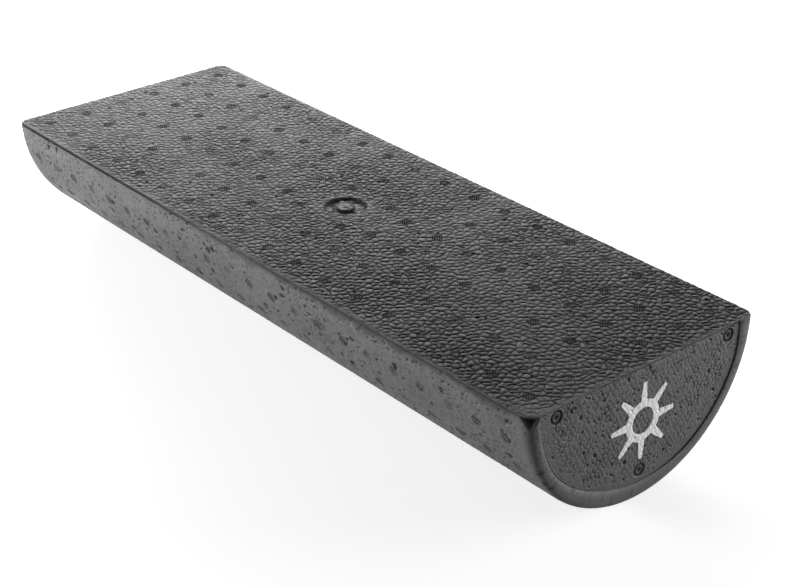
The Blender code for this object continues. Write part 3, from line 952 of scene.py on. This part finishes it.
def add_panel(shell, end, border, border_points):
    """Sunken panel inside one end's seam. Returns its uppermost row."""
    low_y, low_z = border_points[:, 1], border_points[:, 2]
    rows = np.linspace(0, 1, PANEL_ROWS + 1)[:-1, None]
    y = low_y[1:-1] + 0 * rows
    z = -SKIN_THICKNESS + (low_z[1:-1] + SKIN_THICKNESS) * rows
    y[FREE_PANEL], z[FREE_PANEL] = END_BEADS.snap(y[FREE_PANEL], z[FREE_PANEL], PANEL_SNAP)
    relief, marks = end_surface(y * end, z)
    share = np.arctan2(y, ROUND_AXIS - z) / (math.pi / 2)
    from_rim = PANEL_RADIUS - panel_inset(share) - np.hypot(y, z - ROUND_AXIS)
    x = PANEL_X + relief * smooth_step(0, PANEL_EDGE_FADE, from_rim)
    numbers = shell.add(np.stack([end * x, y, z], -1), marks)
    grid = np.vstack([numbers, border[None, 1:-1]])
    first, last = (np.full((len(grid), 1), border[side]) for side in (0, -1))
    grid = np.hstack([first, grid, last])
    laid = np.vstack([np.stack([y, z], -1), border_points[None, 1:-1, 1:]])
    first, last = (border_points[side, 1:] + np.zeros((len(laid), 1, 2)) for side in (0, -1))
    laid = np.hstack([first, laid, last]) + (SHEET_MIDDLE + end * END_SHEET_APART, END_SHEET_V)
    shell.quads(grid, laid, END, flip=end < 0)
    return grid[0]


def start_at(ring, places, corner):
    """Turn a ring of point numbers so that it starts nearest to a corner."""
    gap = np.sum((places[ring][:, :2] - corner) ** 2, axis=1)
    return np.roll(ring, -int(np.argmin(gap)))


def build_foam():
    """The whole moulding as one closed mesh."""
    shell = Shell()
    rings = [add_skin(shell), add_body(shell)]
    places = np.concatenate(shell.points)
    corner = np.array([-LENGTH / 2, -WIDTH / 2])
    skin_ring, body_ring = (start_at(ring, places, corner) for ring in rings)
    shell.zip_rings(skin_ring, body_ring, TOP)
    foam = bpy.data.objects.new("bead_foam_block", shell.mesh("bead_foam_block"))
    bpy.context.scene.collection.objects.link(foam)
    return foam


# Materials


class Wire:
    """A shader socket that Python's own operators work on."""

    def __init__(self, nodes, socket):
        self.nodes = nodes
        self.socket = socket

    def maths(self, operation, *values):
        return self.nodes.node("ShaderNodeMath", {"operation": operation}, dict(enumerate(values)))

    def __add__(self, other):
        return self.maths("ADD", self, other)

    def __radd__(self, other):
        return self.maths("ADD", other, self)

    def __sub__(self, other):
        return self.maths("SUBTRACT", self, other)

    def __rsub__(self, other):
        return self.maths("SUBTRACT", other, self)

    def __mul__(self, other):
        return self.maths("MULTIPLY", self, other)

    def __rmul__(self, other):
        return self.maths("MULTIPLY", other, self)


class Nodes:
    """The nodes of a material or a world, and the shader that they feed."""

    def __init__(self, owner, shader):
        owner.use_nodes = True
        self.tree = owner.node_tree
        self.shader = self.tree.nodes[shader]

    def node(self, kind, settings=None, sockets=None, out=0):
        """Add a node with its settings and its sockets' values or wires; return one output."""
        made = self.tree.nodes.new(kind)
        for key, value in (settings or {}).items():
            setattr(made, key, value)
        for key, value in (sockets or {}).items():
            if isinstance(value, Wire):
                self.tree.links.new(value.socket, made.inputs[key])
            else:
                made.inputs[key].default_value = value
        return Wire(self, made.outputs[out])

    def feed(self, socket, wire):
        self.tree.links.new(wire.socket, self.shader.inputs[socket])

    def ray(self, kind):
        """1 for rays of one kind, such as the camera's own, and 0 for all others."""
        return self.node("ShaderNodeLightPath", out=f"Is {kind} Ray")


class Paint(Nodes):
    """One material's nodes."""

    def __init__(self, name, roughness, specular):
        self.material = bpy.data.materials.new(name)
        super().__init__(self.material, "Principled BSDF")
        self.shader.inputs["Roughness"].default_value = roughness
        self.shader.inputs["Specular IOR Level"].default_value = specular

    def place(self):
        """Object coordinates in millimetres."""
        where = self.node("ShaderNodeTexCoord", out="Object")
        return self.node("ShaderNodeVectorMath", {"operation": "SCALE"}, {0: where, "Scale": METRE})

    def marks(self):
        """The foam's marks: distance from a vent, place across its slots, and darkness, which is
        mostly painted shade.
        """
        stored = self.node("ShaderNodeAttribute", {"attribute_name": "marks"}, out="Vector")
        return [self.node("ShaderNodeSeparateXYZ", {}, {0: stored}, out=part) for part in range(3)]

    def noise(self, where, scale, detail, roughness=0.5):
        sockets = {"Vector": where, "Scale": scale, "Detail": detail, "Roughness": roughness}
        return self.node("ShaderNodeTexNoise", {}, sockets)

    def between(self, value, low, high):
        """0 at low, 1 at high, smooth between."""
        sockets = {"Value": value, "From Min": low, "From Max": high}
        return self.node("ShaderNodeMapRange", {"interpolation_type": "SMOOTHSTEP"}, sockets)

    def mix(self, share, first, second):
        sockets = {0: share, 6: first, 7: second}
        return self.node("ShaderNodeMix", {"data_type": "RGBA"}, sockets, out=2)

    def bump(self, height, depth):
        """Normals of a height from 0 to 1 that is this deep in millimetres."""
        sockets = {"Height": height, "Distance": depth / METRE, "Strength": 1.0}
        return self.node("ShaderNodeBump", {}, sockets)

    def grey(self, level, blue):
        """A grey of this level, with its blue this many times as strong."""
        return self.node("ShaderNodeCombineColor", {}, {0: level, 1: level, 2: level * blue})


def foam_paint(name, level, sheen, specular, grain_scale, grain_depth, speck, disc_tone):
    """Black bead foam: mottled grey, painted shade where the dark mark lies, and slotted vent marks
    whose slots are painted with shade.
    """
    paint = Paint(name, sheen, specular)
    place = paint.place()
    away, across, dark = paint.marks()
    broad = paint.noise(place, scale=0.035, detail=3.0)
    grain = paint.noise(place, scale=grain_scale, detail=3.0, roughness=0.65)
    wear = paint.noise(place, scale=0.25, detail=2.0)
    turn = across * (2 * math.pi / SLOT_PITCH)
    ripple = paint.node("ShaderNodeMath", {"operation": "COSINE"}, {0: turn})
    disc = paint.between(away + 3 * (grain - 0.5), VENT_RADIUS + 0.7, VENT_RADIUS - 0.6)
    disc = disc * (0.4 + 0.6 * paint.between(broad, 0.35, 0.6))
    slots = paint.between(ripple, -0.1, 0.5) * disc * paint.between(wear + grain, 0.72, 0.92)
    specks = paint.between(grain, 0.5 - speck, 0.36 - speck)
    tone = 0.62 + 0.3 * broad + 0.5 * grain
    # Painted shade: the dark mark and the vent slots darken the base colour; the vent discs are
    # darker too.
    shade = (1 - 0.85 * dark) * (1 - disc_tone * disc) * (1 - 0.9 * slots) * (1 - 0.35 * specks)
    paint.feed("Base Color", paint.grey(tone * shade * level, blue=1.01))
    rough = sheen - 0.1 + 0.2 * grain + 0.5 * dark + disc_tone * disc + 0.45 * slots
    paint.feed("Roughness", rough)
    paint.feed("Normal", paint.bump(grain - 0.9 * slots - 0.7 * dark, grain_depth))
    return paint.material


def ink_paint():
    """White pad print, slightly worn through to grey."""
    paint = Paint("white_pad_print", roughness=0.55, specular=0.4)
    place = paint.place()
    fine = paint.noise(place, scale=1.4, detail=3.0, roughness=0.6)
    worn = paint.between(paint.noise(place, scale=0.8, detail=4.0, roughness=0.7), 0.64, 0.72)
    white = paint.grey(0.72 + 0.1 * fine, blue=0.99)
    paint.feed("Base Color", paint.mix(worn, white, (0.2, 0.2, 0.2, 1)))
    paint.feed("Normal", paint.bump(fine, 0.2))
    return paint.material


# The print


def at_ray_root(place, middle):
    """Whether a point lies on the ring's outer edge where a ray grows from it."""
    turn = (math.atan2(place.y, place.x) - middle + math.pi) % (2 * math.pi) - math.pi
    on_edge = abs(place.length * METRE - SUN_RADIUS) < RING_MARGIN
    return on_edge and abs(turn) < RAY_ROOT_TURN


def select_ray_root(mesh, middle):
    """Select only the few outer edges of the ring that a ray grows from."""
    for parts in (mesh.vertices, mesh.edges, mesh.polygons):
        for part in parts:
            part.select = False
    for edge in mesh.edges:
        ends = [mesh.vertices[number] for number in edge.vertices]
        if all(at_ray_root(end.co, middle) for end in ends):
            for part in (edge, *ends):
                part.select = True


def build_print():
    """A plain sun, drawn flat: a ring whose rays are pulled out of its outer edge."""
    bpy.ops.object.select_all(action="DESELECT")
    bpy.ops.mesh.primitive_circle_add(
        vertices=SUN_CORNERS, radius=SUN_RADIUS / METRE, fill_type="NGON", location=(0, 0, 0)
    )
    sun = bpy.context.active_object
    sun.name = sun.data.name = "sun_print"
    bpy.ops.object.mode_set(mode="EDIT")
    bpy.ops.mesh.inset(thickness=SUN_BAND / METRE)
    bpy.ops.mesh.delete(type="FACE")
    step = RAY_LENGTH / RAY_STEPS / METRE
    for ray in range(SUN_RAYS):
        middle = ray * RAY_TURN
        bpy.ops.object.mode_set(mode="OBJECT")
        select_ray_root(sun.data, middle)
        bpy.ops.object.mode_set(mode="EDIT")
        bpy.ops.mesh.select_mode(type="EDGE")
        pull = {"value": (step * math.cos(middle), step * math.sin(middle), 0)}
        for _ in range(RAY_STEPS):
            bpy.ops.mesh.extrude_edges_move(TRANSFORM_OT_translate=pull)
    bpy.ops.object.mode_set(mode="OBJECT")
    return sun


def narrow_rays(sun):
    """Straight tapered rays: the tips are narrower than the roots."""
    root, length = SUN_RADIUS / METRE, RAY_LENGTH / METRE
    for point in sun.data.vertices:
        x, y = point.co.x, point.co.y
        if math.hypot(x, y) > root + RING_MARGIN / METRE:
            middle = round(math.atan2(y, x) / RAY_TURN) * RAY_TURN
            along = x * math.cos(middle) + y * math.sin(middle)
            aside = y * math.cos(middle) - x * math.sin(middle)
            aside *= 1 - RAY_TAPER * (along - root) / length
            point.co.x = along * math.cos(middle) - aside * math.sin(middle)
            point.co.y = along * math.sin(middle) + aside * math.cos(middle)


def lay_print(sun, foam):
    """Stand the sun in front of the panel, lay it on the relief and give it the ink's thickness."""
    for point in sun.data.vertices:
        across, up = point.co.x, point.co.y
        point.co = (LENGTH / 2 / METRE, across, (HEIGHT + SUN_CENTRE_Z) / METRE + up)
    bpy.ops.object.select_all(action="DESELECT")
    sun.select_set(True)
    bpy.context.view_layer.objects.active = sun
    fine = sun.modifiers.new("fine", "SUBSURF")
    fine.subdivision_type = "SIMPLE"
    fine.levels = fine.render_levels = INK_LEVELS
    wrap = sun.modifiers.new("lay", "SHRINKWRAP")
    wrap.target = foam
    wrap.wrap_method = "PROJECT"
    wrap.use_project_x = True
    wrap.use_project_y = wrap.use_project_z = False
    wrap.use_negative_direction = True
    wrap.use_positive_direction = False
    wrap.offset = INK_LIFT / METRE
    film = sun.modifiers.new("film", "SOLIDIFY")
    film.thickness = INK_THICKNESS / METRE
    film.offset = -1
    for modifier in ("fine", "lay", "film"):
        bpy.ops.object.modifier_apply(modifier=modifier)
    bpy.ops.object.mode_set(mode="EDIT")
    bpy.ops.mesh.select_all(action="SELECT")
    bpy.ops.mesh.normals_make_consistent(inside=False)
    bpy.ops.object.mode_set(mode="OBJECT")


# Stage, light and camera


def build_floor():
    """A pale floor that keeps the shadow, white to the camera and dimmer in reflections."""
    bpy.ops.object.select_all(action="DESELECT")
    bpy.ops.mesh.primitive_plane_add(size=FLOOR_SIZE, location=(0, 0, 0))
    floor = bpy.context.active_object
    floor.name = "floor"
    paint = Paint("floor_white", roughness=0.9, specular=0.0)
    paint.shader.inputs["Base Color"].default_value = (0.7, 0.7, 0.7, 1)
    paint.shader.inputs["Emission Color"].default_value = (1, 1, 1, 1)
    glow = FLOOR_WHITE * paint.ray("Camera") + FLOOR_MIRRORED * paint.ray("Glossy")
    paint.feed("Emission Strength", glow)
    floor.data.materials.append(paint.material)


def build_world():
    """White where the camera or glass sees it, and dim as a light on the object."""
    world = bpy.data.worlds.new("studio")
    bpy.context.scene.world = world
    nodes = Nodes(world, "Background")
    rays = {0: nodes.ray("Camera"), 1: nodes.ray("Transmission")}
    seen = nodes.node("ShaderNodeMath", {"operation": "MAXIMUM"}, rays)
    level = {"Value": seen, "To Min": AMBIENT, "To Max": 1.0}
    nodes.feed("Strength", nodes.node("ShaderNodeMapRange", {}, level))
    nodes.shader.inputs["Color"].default_value = (1, 1, 1, 1)


def add_softbox(name, direction, elevation, distance, size, power, dip=0, spread=180):
    """A soft light that faces the roller from a direction over the floor plan.

    The dip turns it further down, and a small spread is a grid in front of it.
    """
    lamp = bpy.data.lights.new(name, "AREA")
    lamp.shape = "RECTANGLE"
    lamp.size, lamp.size_y = size
    lamp.energy = power
    lamp.spread = math.radians(spread)
    box = bpy.data.objects.new(name, lamp)
    bpy.context.scene.collection.objects.link(box)
    flat = Vector((*direction, 0)).normalized()
    tilt = math.radians(elevation)
    away = flat * math.cos(tilt) + Vector((0, 0, math.sin(tilt)))
    box.location = LAMP_AIM + away * distance
    fall = tilt + math.radians(dip)
    facing = flat * -math.cos(fall) - Vector((0, 0, math.sin(fall)))
    box.rotation_euler = facing.to_track_quat("-Z", "Y").to_euler()


def build_lights():
    for name, settings in SOFTBOXES.items():
        add_softbox(name, **settings)


def build_camera():
    """The photograph's own view."""
    lens = bpy.data.cameras.new("camera")
    lens.sensor_fit = "HORIZONTAL"
    lens.sensor_width = SENSOR_MM
    lens.lens = LENS_MM
    lens.clip_end = CLIP_END
    camera = bpy.data.objects.new("camera", lens)
    camera.location = CAMERA_PLACE
    camera.rotation_euler = [math.radians(angle) for angle in CAMERA_DEGREES]
    bpy.context.scene.collection.objects.link(camera)
    bpy.context.scene.camera = camera


def finish_foam(foam):
    """Paint the foam and say what it stands for."""
    for name, look in FOAM_LOOKS.items():
        foam.data.materials.append(foam_paint(name, **look))
    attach(foam, "root")
    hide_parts("foam_body")


def finish_print(sun):
    """Paint the print and say what it stands for."""
    for face in sun.data.polygons:
        face.use_smooth = True
    sun.data.materials.append(ink_paint())
    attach(sun, "root")
    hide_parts("end_print")


foam_block = build_foam()
sun_print = build_print()
narrow_rays(sun_print)
lay_print(sun_print, foam_block)
finish_foam(foam_block)
finish_print(sun_print)
build_floor()
build_world()
build_lights()
build_camera()
bpy.context.scene.view_settings.view_transform = "Standard"
